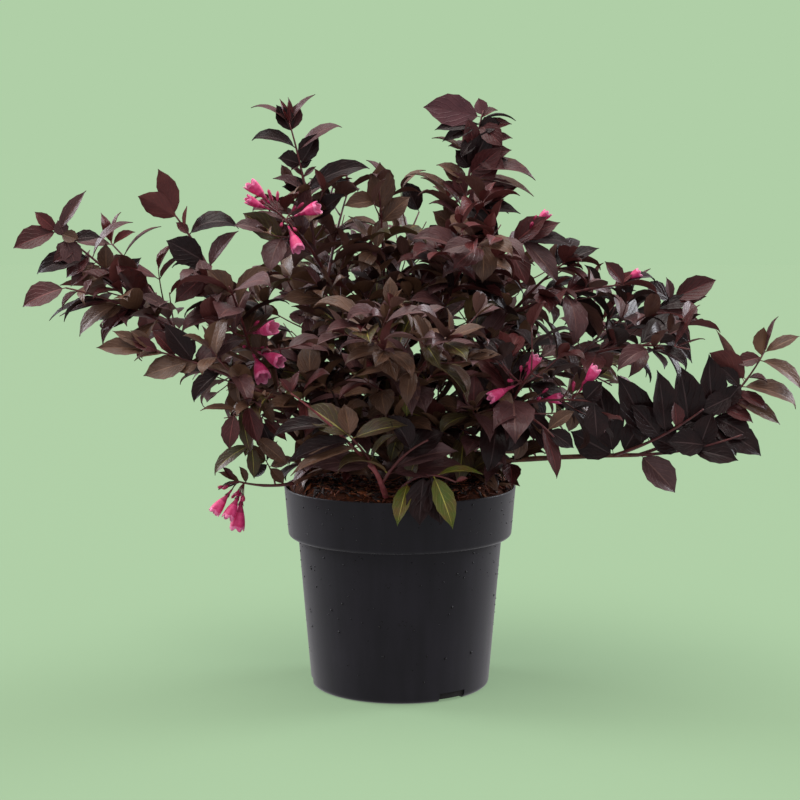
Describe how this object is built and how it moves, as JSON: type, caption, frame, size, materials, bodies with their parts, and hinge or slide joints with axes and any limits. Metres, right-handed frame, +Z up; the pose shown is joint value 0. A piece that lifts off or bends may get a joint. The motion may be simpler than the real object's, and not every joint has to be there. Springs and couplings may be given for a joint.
{
  "type": "potted weigela shrub",
  "caption": "Young purple-leaved weigela shrub with arching woody stems and pink funnel flowers, growing in a round black plastic nursery pot filled with bark compost.",
  "frame": {"origin": "the middle of the pot's flat underside", "axes": "+Z is up, -Y is the front, and +X points to the right along the wider spread of the crown"},
  "size_m": [0.8842, 0.5331, 0.6745],
  "materials": {
    "pot_plastic": "moulded black polypropylene, satin, with a few water drops",
    "compost": "moist red-brown bark compost, fibrous and matt",
    "bark": "thin red-brown shrub bark, matt, with fine lengthwise ridges",
    "leaves": "dark purple leaves with a soft sheen, on red-brown twigs, with pink flowers"
  },
  "bodies": {
    "root": {"pot": "pot_plastic", "compost": "compost", "stool": "bark", "bough_left_leader": "bark", "bough_centre": "bark", "bough_right_leader": "bark", "bough_left_arch": "bark", "bough_left_long": "bark", "bough_left_low": "bark", "bough_left_skirt": "bark", "bough_front_spray": "bark", "bough_front_rise": "bark", "bough_right_inner": "bark", "bough_right_upper": "bark", "bough_right_arch": "bark", "bough_right_long": "bark", "bough_back_left": "bark", "bough_back_right": "bark", "foliage_left_leader_1": "leaves", "foliage_left_leader_2": "leaves", "foliage_left_leader_3": "leaves", "foliage_centre_1": "leaves", "foliage_centre_2": "leaves", "foliage_right_leader_1": "leaves", "foliage_right_leader_2": "leaves", "foliage_right_leader_3": "leaves", "foliage_left_arch_1": "leaves", "foliage_left_arch_2": "leaves", "foliage_left_arch_3": "leaves", "foliage_left_long_1": "leaves", "foliage_left_long_2": "leaves", "foliage_left_long_3": "leaves", "foliage_left_low_1": "leaves", "foliage_left_low_2": "leaves", "foliage_left_skirt_1": "leaves", "foliage_front_spray_1": "leaves", "foliage_front_spray_2": "leaves", "foliage_front_spray_3": "leaves", "foliage_front_rise_1": "leaves", "foliage_front_rise_2": "leaves", "foliage_right_inner_1": "leaves", "foliage_right_inner_2": "leaves", "foliage_right_inner_3": "leaves", "foliage_right_upper_1": "leaves", "foliage_right_upper_2": "leaves", "foliage_right_arch_1": "leaves", "foliage_right_arch_2": "leaves", "foliage_right_arch_3": "leaves", "foliage_right_long_1": "leaves", "foliage_right_long_2": "leaves", "foliage_right_long_3": "leaves", "foliage_back_left_1": "leaves", "foliage_back_left_2": "leaves", "foliage_back_left_3": "leaves", "foliage_back_right_1": "leaves", "foliage_back_right_2": "leaves", "foliage_back_right_3": "leaves", "foliage_front_sucker": "leaves", "foliage_back_mid": "leaves", "foliage_back_low": "leaves"}
  },
  "joints": []
}
